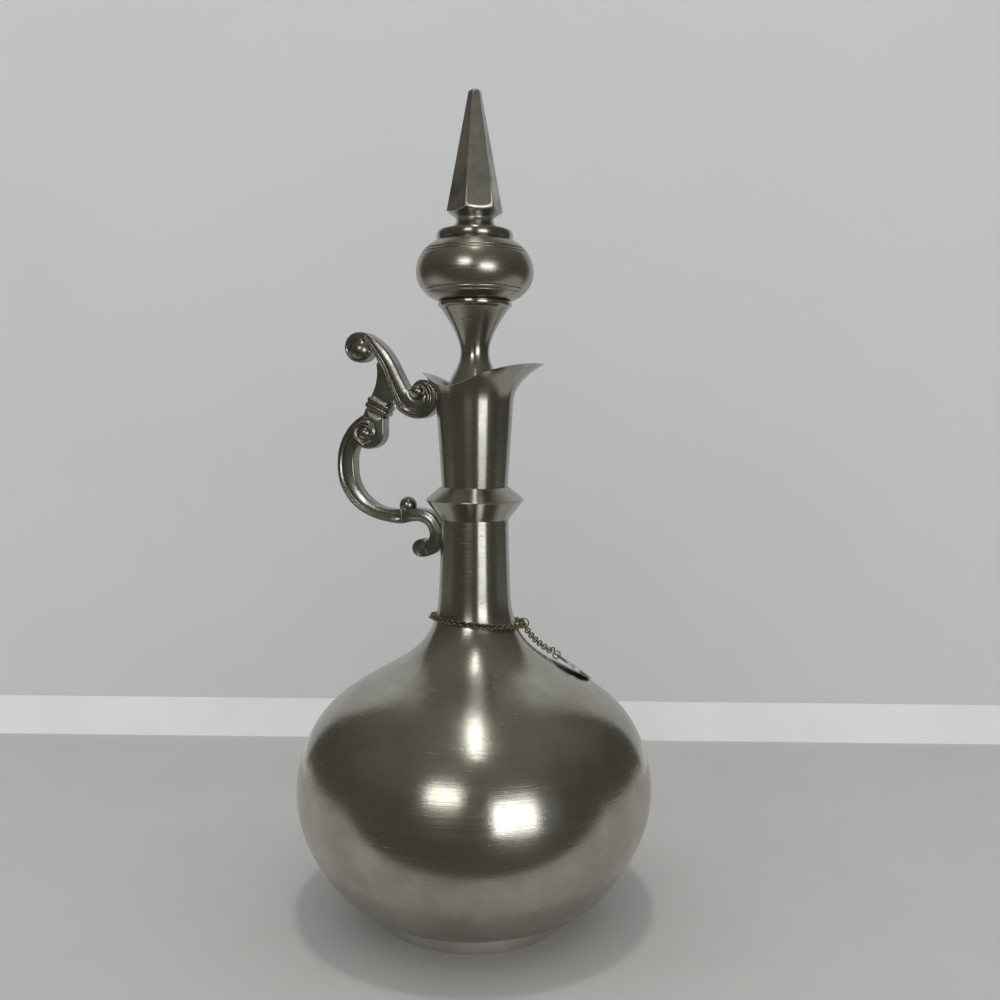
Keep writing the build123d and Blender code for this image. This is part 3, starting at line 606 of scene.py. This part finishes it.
def embossed(node_name, half_width, dome, dome_reach, bead=(), eyes=(), joint=None):
    """A casting's CAD form whose flat sides are meshed afresh and raised by the relief."""
    step, flat_within = 0.3, 0.002
    piece = smooth_copy(node_name, node_name + "_cast", cast_pewter)
    work = bmesh.new()
    work.from_mesh(piece.data)
    for side in (-1, 1):
        plane = side * half_width
        flat = [
            f for f in work.faces if all(abs(v.co.y / mm - plane) < flat_within for v in f.verts)
        ]
        members = set(flat)
        rim = [
            e for f in flat for e in f.edges if sum(near in members for near in e.link_faces) == 1
        ]
        corners = list({v: None for e in rim for v in e.verts})
        number = {v: i for i, v in enumerate(corners)}
        bmesh.ops.delete(work, geom=flat, context="FACES")
        plan = np.array([(v.co.x / mm, v.co.z / mm) for v in corners])
        pairs = [(number[e.verts[0]], number[e.verts[1]]) for e in rim]
        starts, ends = plan[[a for a, b in pairs]], plan[[b for a, b in pairs]]
        # an even grid of new points inside the side's outline, clear of its edges
        low, high = plan.min(0), plan.max(0)
        ticks = [np.arange(low[i], high[i], step) for i in (0, 1)]
        grid = np.stack(np.meshgrid(*ticks), -1).reshape(-1, 2)
        grid = grid[within(grid, starts, ends)]
        grid = grid[edge_distance(grid, starts, ends) > 0.6 * step]
        everything = [Vector(p) for p in np.concatenate([plan, grid])]
        made = delaunay_2d_cdt(everything, pairs, [], 0, 1e-5)
        placed, triangles, source = made[0], made[2], made[3]
        centres = np.array([np.mean([placed[i][:] for i in t], axis=0) for t in triangles])
        kept = within(centres, starts, ends)
        points = np.array([p[:] for p in placed])
        out_up = np.stack([-points[:, 0] - neck_top[0], points[:, 1] - joint_z], -1)
        outer = outermost(starts, ends)
        gap = edge_distance(points, starts[outer], ends[outer])
        rise = relief(out_up, gap, dome, dome_reach, bead, eyes, joint)
        verts = []
        for i, (x, z) in enumerate(points):
            known = [n for n in source[i] if n < len(corners)]
            if known:
                verts.append(corners[known[0]])
            else:
                verts.append(work.verts.new((x * mm, plane * mm, z * mm)))
        for vert, height in zip(verts, rise):
            vert.co.y = side * (half_width + height) * mm
        for keep, t in zip(kept, triangles):
            if keep and len({verts[i] for i in t}) == 3:
                work.faces.new([verts[i] for i in t])
    bmesh.ops.recalc_face_normals(work, faces=work.faces)
    work.to_mesh(piece.data)
    work.free()
    piece.data.shade_smooth()
    piece.data.set_sharp_from_angle(angle=radians(50))
    return piece


# darker than the body and a little duller, so that beads and rims glint against their hollows
cast_pewter = pewter("cast_pewter", 0.0, "#A4A49B", "#78766C", 0.24, 0.0, 7)
upper_bead = [
    (32.2, 64.4), (29.5, 60.7), (25.5, 55.2), (22.2, 48.5), (18.9, 41.2), (16.3, 37.2),
    (13.2, 35.3), (9.4, 34.9), (6.2, 36.9), (4.9, 40.4), (5.6, 43.8), (7.6, 46.2),
]
upper_eyes = [((9.7, 43.3), 2.4), ((34.8, 59.8), 4.4)]
upper = embossed("upper_scroll", 3.5, 0.35, 2.5, upper_bead, upper_eyes)
stands_for(upper, "vessel", "pewter", "upper_scroll")
grip_bead = [
    (32.6, 23.4), (30.2, 24.4), (28.9, 27.2), (29.9, 29.9), (32.6, 31.4),
    (36.2, 30.2), (39.8, 26.6), (42.4, 21.4), (43.6, 14.0), (42.7, 7.6),
    (40.2, 2.4), (36.4, -1.9), (31.2, -4.9), (25.5, -6.7), (18.0, -7.8),
]
joint_out = 16.8
grip = embossed("grip_scroll", 3.0, 0.7, 3.4, grip_bead, [((32.9, 26.7), 2.9)], joint_out)
stands_for(grip, "vessel", "pewter", "grip_scroll")
lower = embossed("lower_scroll", 3.0, 0.8, 3.0, (), [((8.8, -18.7), 1.6)], joint_out)
stands_for(lower, "vessel", "pewter", "lower_scroll")
for node_name in ("handle_bracket", "handle_ferrule"):
    piece = smooth_copy(node_name, node_name + "_cast", cast_pewter)
    stands_for(piece, "vessel", "pewter", node_name)
for node_name in ("thumb_ball", "joint_ball", "tail_ball"):
    piece = smooth_copy(node_name, node_name + "_cast", cast_pewter, 60)
    stands_for(piece, "vessel", "pewter", node_name)

# Chain: round links of brass wire, each turned a quarter from the one before, hung loosely
# round the foot of the neck. Every link's place and facing are read from its CAD solid.
link_r, link_wire_r = 1.0, 0.31


def metal(name, colour, rough):
    """Drawn wire or plate of one metal, with fine wear in its gloss and its colour."""
    wear_mm, worn_shade = 0.8, 0.72
    material, tree, shader = new_material(name)
    place = place_in_mm(tree)
    wear = node(
        tree, "ShaderNodeTexNoise", Vector=place, Scale=1 / wear_mm, Detail=4.0
    ).outputs[0]
    least, most = rough - 0.06, rough + 0.1
    gloss = node(
        tree, "ShaderNodeMapRange", in_0=wear, in_1=0.3, in_2=0.7, in_3=least, in_4=most
    )
    tree.links.new(gloss.outputs[0], shader.inputs["Roughness"])
    clean = hex_colour(colour)
    worn = [worn_shade * c for c in clean[:3]] + [1]
    shade = node(tree, "ShaderNodeMix", colour_mix, in_0=wear, in_6=clean, in_7=worn)
    tree.links.new(shade.outputs[2], shader.inputs["Base Color"])
    bump = node(tree, "ShaderNodeBump", Height=wear, Strength=0.2, Distance=0.03 * mm)
    tree.links.new(bump.outputs[0], shader.inputs["Normal"])
    shader.inputs["Metallic"].default_value = 1.0
    return material


# brass gone a greyish brown, which glints only on the round of the wire
chain_brass = metal("dulled_brass", "#8E866C", 0.2)


def link_tree():
    """A node tree that sets a round link on every point and turns it to the point's facing."""
    tree = bpy.data.node_groups.new("round_links", "GeometryNodeTree")
    sockets = tree.interface
    sockets.new_socket("Geometry", in_out="INPUT", socket_type="NodeSocketGeometry")
    for label in ("Link radius", "Wire radius"):
        sockets.new_socket(label, in_out="INPUT", socket_type="NodeSocketFloat")
    sockets.new_socket("Material", in_out="INPUT", socket_type="NodeSocketMaterial")
    sockets.new_socket("Geometry", in_out="OUTPUT", socket_type="NodeSocketGeometry")
    start = node(tree, "NodeGroupInput")
    circle = "GeometryNodeCurvePrimitiveCircle"
    ring = node(tree, circle, Resolution=28, Radius=start.outputs[1])
    wire = node(tree, circle, Resolution=12, Radius=start.outputs[2])
    link = node(tree, "GeometryNodeCurveToMesh", in_0=ring.outputs[0], in_1=wire.outputs[0])
    vector = {"data_type": "FLOAT_VECTOR"}
    facing = node(tree, "GeometryNodeInputNamedAttribute", vector, Name="facing").outputs[0]
    turn = node(tree, "FunctionNodeAlignRotationToVector", {"axis": "Z"}, Vector=facing)
    links = node(
        tree,
        "GeometryNodeInstanceOnPoints",
        in_0=start.outputs[0],
        Instance=link.outputs[0],
        Rotation=turn.outputs[0],
    )
    real = node(tree, "GeometryNodeRealizeInstances", in_0=links.outputs[0])
    smooth = node(tree, "GeometryNodeSetShadeSmooth", in_0=real.outputs[0])
    coat = node(
        tree, "GeometryNodeSetMaterial", in_0=smooth.outputs[0], Material=start.outputs[3]
    )
    node(tree, "NodeGroupOutput", in_0=coat.outputs[0])
    return tree


def solids_of(node_name):
    """The points of each separate solid in a CAD node, in the order of its mesh."""
    work = bmesh.new()
    work.from_mesh(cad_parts[node_name].data)
    bmesh.ops.remove_doubles(work, verts=work.verts, dist=0.001 * mm)
    found, groups = set(), []
    for first in work.verts:
        if first in found:
            continue
        found.add(first)
        group = [first]
        for vert in group:
            for near in (e.other_vert(vert) for e in vert.link_edges):
                if near not in found:
                    found.add(near)
                    group.append(near)
        groups.append(np.array([v.co[:] for v in group]))
    work.free()
    return groups


round_links = link_tree()
for node_name, name in (("neck_chain", "neck_links"), ("chain_tail", "tail_links")):
    solids = solids_of(node_name)
    centres = [(s.max(0) + s.min(0)) / 2 for s in solids]
    # a flat ring faces the way in which its points spread least
    facings = [np.linalg.svd(s - s.mean(0), full_matrices=False)[2][2] for s in solids]
    mesh = bpy.data.meshes.new(name + "_points")
    mesh.from_pydata([Vector(c) for c in centres], [], [])
    facing = mesh.attributes.new("facing", "FLOAT_VECTOR", "POINT")
    facing.data.foreach_set("vector", np.array(facings, np.float32).ravel())
    points = show(name + "_points", mesh)
    modifier = points.modifiers.new("links", "NODES")
    modifier.node_group = round_links
    values = {
        "Link radius": link_r * mm,
        "Wire radius": link_wire_r * mm,
        "Material": chain_brass,
    }
    for item in round_links.interface.items_tree:
        if item.in_out == "INPUT" and item.name in values:
            modifier[item.identifier] = values[item.name]
    bpy.context.view_layer.update()
    evaluated = points.evaluated_get(bpy.context.evaluated_depsgraph_get())
    piece = show(name, bpy.data.meshes.new_from_object(evaluated))
    bpy.data.objects.remove(points)
    stands_for(piece, "chain", "chain_brass", node_name)

# Closing ring and hook: bent from the chain's own brass wire.
# The ring joins the chain to its free end, and the hook at that end carries the tag.
for node_name in ("closing_ring", "wire_hook"):
    piece = smooth_copy(node_name, node_name + "_wire", chain_brass, 60)
    stands_for(piece, "chain", "chain_brass", node_name)

# Tag: a plain disc cut from pewter plate, on a small ring of brass wire.
# Handling has softened its edge, which catches the light.
tag_ring = smooth_copy("tag_ring", "tag_ring_wire", chain_brass, 60)
stands_for(tag_ring, "name_tag", "chain_brass", "tag_ring")
tag = smooth_copy("tag", "tag_plate", ground_pewter)
edge_soft = 0.16
work = bmesh.new()
work.from_mesh(tag.data)
bmesh.ops.dissolve_limit(work, angle_limit=radians(1), verts=work.verts, edges=work.edges)
edges = [e for e in work.edges if e.is_manifold and e.calc_face_angle() > radians(60)]
bmesh.ops.bevel(
    work, geom=edges, offset=edge_soft * mm, segments=3, affect="EDGES", profile=0.5
)
work.to_mesh(tag.data)
work.free()
tag.data.set_sharp_from_angle(angle=radians(40))
stands_for(tag, "name_tag", "pewter", "tag")

# Cork: a tapered plug turned from pressed cork crumbs, threaded on the stud under the stem.
# It seals the mouth and is seen only when the stopper is lifted out.

# matt tan crumbs of two tones, with dark open pores
cork_brown, tree, shader = new_material("cork")
crumb_mm, pore_mm = 1.6, 3.0
place = node(tree, "ShaderNodeTexCoord").outputs["Object"]
cells = node(
    tree, "ShaderNodeTexVoronoi", Vector=place, Scale=1 / (crumb_mm * mm)
).outputs["Color"]
speck = node(
    tree, "ShaderNodeTexNoise", Vector=place, Scale=1 / (pore_mm * mm), Detail=5.0
).outputs[0]
light_crumb, dark_crumb, pore = (hex_colour(c) for c in ("#B89772", "#9E7A55", "#5E3F24"))
crumbs = node(tree, "ShaderNodeMix", colour_mix, in_0=cells, in_6=light_crumb, in_7=dark_crumb)
pores = node(tree, "ShaderNodeMapRange", in_0=speck, in_1=0.32, in_2=0.42, in_3=1.0, in_4=0.0)
colour = node(
    tree,
    "ShaderNodeMix",
    colour_mix,
    in_0=pores.outputs[0],
    in_6=crumbs.outputs[2],
    in_7=pore,
)
tree.links.new(colour.outputs[2], shader.inputs["Base Color"])
bump = node(tree, "ShaderNodeBump", Height=speck, Strength=0.5, Distance=0.3 * mm)
tree.links.new(bump.outputs[0], shader.inputs["Normal"])
shader.inputs["Roughness"].default_value = 0.85
cork = smooth_copy("cork", "cork_plug", cork_brown)
stands_for(cork, "cork_seat", "cork", "cork")

# Stud, washer and nut: bought steel parts that clamp cork, stem, knob and cap together.
# The stud screws into the spire above and ends in the nut under the cork.

# a plain even grey, paler than the pewter
plain_steel = metal("plain_steel", "#B9BABB", 0.32)
for node_name in ("stopper_stud", "cork_washer", "stud_nut"):
    piece = smooth_copy(node_name, node_name + "_steel", plain_steel)
    stands_for(piece, "stopper", "stud_steel", node_name)

# Table: a pale matt table top that the decanter stands on.
# The spout's side is turned 19.5 degrees towards the camera, so the room is turned with it.
room_angle = radians(19.5)
room_turn = Matrix.Rotation(room_angle, 4, "Z")
dim_room = "#54524B"


def stage_plane(name, corners, material):
    """A flat surface of the room, from its corners in the room's own frame."""
    mesh = bpy.data.meshes.new(name)
    mesh.from_pydata([room_turn @ Vector(c) for c in corners], [], [(0, 1, 2, 3)])
    mesh.materials.append(material)
    show(name, mesh)


def matt(name, colour, spot_mm, depth):
    """A painted surface with faint clouds in its colour."""
    material, tree, shader = new_material(name)
    place = node(tree, "ShaderNodeTexCoord").outputs["Object"]
    clouds = node(
        tree, "ShaderNodeTexNoise", Vector=place, Scale=1 / (spot_mm * mm), Detail=6.0
    ).outputs[0]
    pale = hex_colour(colour)
    dark = [depth * c for c in pale[:3]] + [1]
    mixed = node(tree, "ShaderNodeMix", colour_mix, in_0=clouds, in_6=pale, in_7=dark)
    tree.links.new(mixed.outputs[2], shader.inputs["Base Color"])
    shader.inputs["Roughness"].default_value = 0.9
    shader.inputs["Specular IOR Level"].default_value = 0.1
    return material


def room_place(tree):
    """How far a point of the stage lies across the room and into it, in metres."""
    place = node(tree, "ShaderNodeTexCoord").outputs["Object"]
    turned_back = node(tree, "ShaderNodeMapping", Vector=place, Rotation=(0, 0, -room_angle))
    split = node(tree, "ShaderNodeSeparateXYZ", in_0=turned_back.outputs[0])
    across = node(tree, "ShaderNodeMath", {"operation": "ABSOLUTE"}, in_0=split.outputs["X"])
    return across.outputs[0], split.outputs["Y"]


def dark_beyond(tree, beyond):
    """The paint's shader, with the dim room in its place where a reflection looks beyond it."""
    glossy = node(tree, "ShaderNodeLightPath").outputs["Is Glossy Ray"]
    unseen = node(tree, "ShaderNodeMath", {"operation": "MULTIPLY"}, in_0=beyond, in_1=glossy)
    room_dark = node(tree, "ShaderNodeEmission", Color=hex_colour(dim_room), Strength=1.0)
    return node(
        tree,
        "ShaderNodeMixShader",
        Fac=unseen.outputs[0],
        in_1=tree.nodes["Principled BSDF"].outputs[0],
        in_2=room_dark.outputs[0],
    ).outputs[0]


# a pale warm grey that lights the body's underside
table_paint = matt("table_paint", "#BAB8B5", 60, 0.9)
table_size = 3
table_corners = [(-1, -1), (1, -1), (1, 1), (-1, 1)]
stage_plane("table", [(table_size * x, table_size * y, 0) for x, y in table_corners], table_paint)
# in reflections the table ends 108 mm in front of the decanter and 700 mm to its sides
table_end, table_half = -0.108, 0.7
tree = table_paint.node_tree
across, inward = room_place(tree)
front = node(tree, "ShaderNodeMath", {"operation": "LESS_THAN"}, in_0=inward, in_1=table_end)
sides = node(tree, "ShaderNodeMath", {"operation": "GREATER_THAN"}, in_0=across, in_1=table_half)
beyond = node(
    tree,
    "ShaderNodeMath",
    {"operation": "MAXIMUM"},
    in_0=front.outputs[0],
    in_1=sides.outputs[0],
)
skin = dark_beyond(tree, beyond.outputs[0])
tree.links.new(skin, tree.nodes["Material Output"].inputs[0])

# Wall: a pale painted wall close behind the decanter, three degrees off square to the room.
# A white painted skirting runs along its foot.
wall_y, wall_half, wall_high, wall_turn = 0.205, 0.33, 0.62, radians(-3)
skirting_high, skirting_deep = 0.0242, 0.0003


def one_sided(tree, skin):
    """Makes a stage surface clear to the camera from behind, so that it hides nothing."""
    seen = node(tree, "ShaderNodeLightPath").outputs["Is Camera Ray"]
    behind = node(tree, "ShaderNodeNewGeometry").outputs["Backfacing"]
    through = node(
        tree, "ShaderNodeMath", {"operation": "MULTIPLY"}, in_0=seen, in_1=behind
    ).outputs[0]
    clear = node(tree, "ShaderNodeBsdfTransparent").outputs[0]
    mixed = node(tree, "ShaderNodeMixShader", Fac=through, in_1=skin, in_2=clear)
    tree.links.new(mixed.outputs[0], tree.nodes["Material Output"].inputs[0])


def on_wall(out, top):
    """The corners of a strip of the wall, so far out from its face and up to its top."""
    corners = ((-wall_half, 0), (wall_half, 0), (wall_half, top), (-wall_half, top))
    own_turn = Matrix.Rotation(wall_turn, 4, "Z")
    return [own_turn @ Vector((across, wall_y - out, up)) for across, up in corners]


# a cool pale grey that the metal mirrors as bright rims
wall_paint = matt("wall_paint", "#DADCDC", 150, 0.93)
# in reflections it ends 260 mm to either side, where the dim room begins
wall_end = 0.26
tree = wall_paint.node_tree
across = room_place(tree)[0]
beyond = node(tree, "ShaderNodeMath", {"operation": "GREATER_THAN"}, in_0=across, in_1=wall_end)
one_sided(tree, dark_beyond(tree, beyond.outputs[0]))
stage_plane("backdrop", on_wall(0, wall_high), wall_paint)
# a white a step brighter than the wall
skirting_paint = matt("skirting_paint", "#FFFFFF", 40, 0.85)
tree = skirting_paint.node_tree
one_sided(tree, tree.nodes["Principled BSDF"].outputs[0])
stage_plane("skirting", on_wall(skirting_deep, skirting_high), skirting_paint)

# Room: the metal mirrors a dim room that grows lighter towards its ceiling.
# An even pale daylight lights the table and wall, and a plain grey fills the view beyond them.
dark_low, dark_high = hex_colour(dim_room), hex_colour("#78756B")
daylight, far_view = hex_colour("#F5F5F6"), hex_colour("#B4B6B6")
world = bpy.data.worlds.new("room")
world.use_nodes = True
bpy.context.scene.world = world
tree = world.node_tree
seen = node(tree, "ShaderNodeLightPath")
way = node(tree, "ShaderNodeTexCoord").outputs["Generated"]
upward = node(tree, "ShaderNodeSeparateXYZ", in_0=way).outputs["Z"]
height = node(tree, "ShaderNodeMapRange", in_0=upward, in_1=0.25, in_2=0.95).outputs[0]
dim = node(
    tree, "ShaderNodeMix", colour_mix, in_0=height, in_6=dark_low, in_7=dark_high
).outputs[2]
mirrored = seen.outputs["Is Glossy Ray"]
light = node(
    tree, "ShaderNodeMix", colour_mix, in_0=mirrored, in_6=daylight, in_7=dim
).outputs[2]
direct = seen.outputs["Is Camera Ray"]
view = node(tree, "ShaderNodeMix", colour_mix, in_0=direct, in_6=light, in_7=far_view)
tree.links.new(view.outputs[2], tree.nodes["Background"].inputs["Color"])

# Lamps: a long ceiling lamp, a small lamp up on the left and a wide window low on the right.
# Those that the metal mirrors don't light the room, and the fill that lights it isn't mirrored.


def lamp(name, azimuth, elevation, distance, size, watts, colour="#FFFFFF", in_metal=True):
    """A soft lamp aimed at the body, at angles to the right of the camera's side and upwards,
    with its distance, width and height in metres."""
    light = bpy.data.lights.new(name, "AREA")
    light.shape = "RECTANGLE"
    light.size, light.size_y = size
    light.energy = watts
    light.color = hex_colour(colour)[:3]
    aim = Vector((0, 0, 0.1))
    a, e = radians(azimuth), radians(elevation)
    back = room_turn @ Vector((sin(a) * cos(e), -cos(a) * cos(e), sin(e)))
    holder = show(name, light)
    holder.location = aim + back * distance
    holder.rotation_mode = "QUATERNION"
    holder.rotation_quaternion = (-back).to_track_quat("-Z", "Y")
    holder.visible_glossy, holder.visible_diffuse = in_metal, not in_metal


lamp("ceiling_fill", 0, 84, 1.5, (0.12, 0.12), 4.2, in_metal=False)
lamp("ceiling_lamp", 2, 82, 1.5, (0.13, 0.9), 2.4)
lamp("left_lamp", -20, 25, 1.3, (0.42, 0.28), 2.0)
lamp("window", 24, 7, 1.3, (0.58, 0.56), 4.0)
lamp("window_glow", 34, 4, 1.4, (0.9, 0.9), 0.35, "#C3D3E6")

# Camera: close in front of the decanter and a little above its middle, tilted 5 degrees down.
camera_out, camera_up, camera_tilt, camera_roll, camera_turn = 0.390, 0.1981, 85.0, -0.14, 18.06
camera = bpy.data.cameras.new("camera")
camera.lens, camera.sensor_width = 36, 36
camera.clip_start = 0.01
viewer = show("camera", camera)
viewer.location = room_turn @ Vector((0, -camera_out, camera_up))
viewer.rotation_euler = (radians(camera_tilt), radians(camera_roll), radians(camera_turn))
bpy.context.scene.camera = viewer
bpy.context.scene.view_settings.view_transform = "Standard"
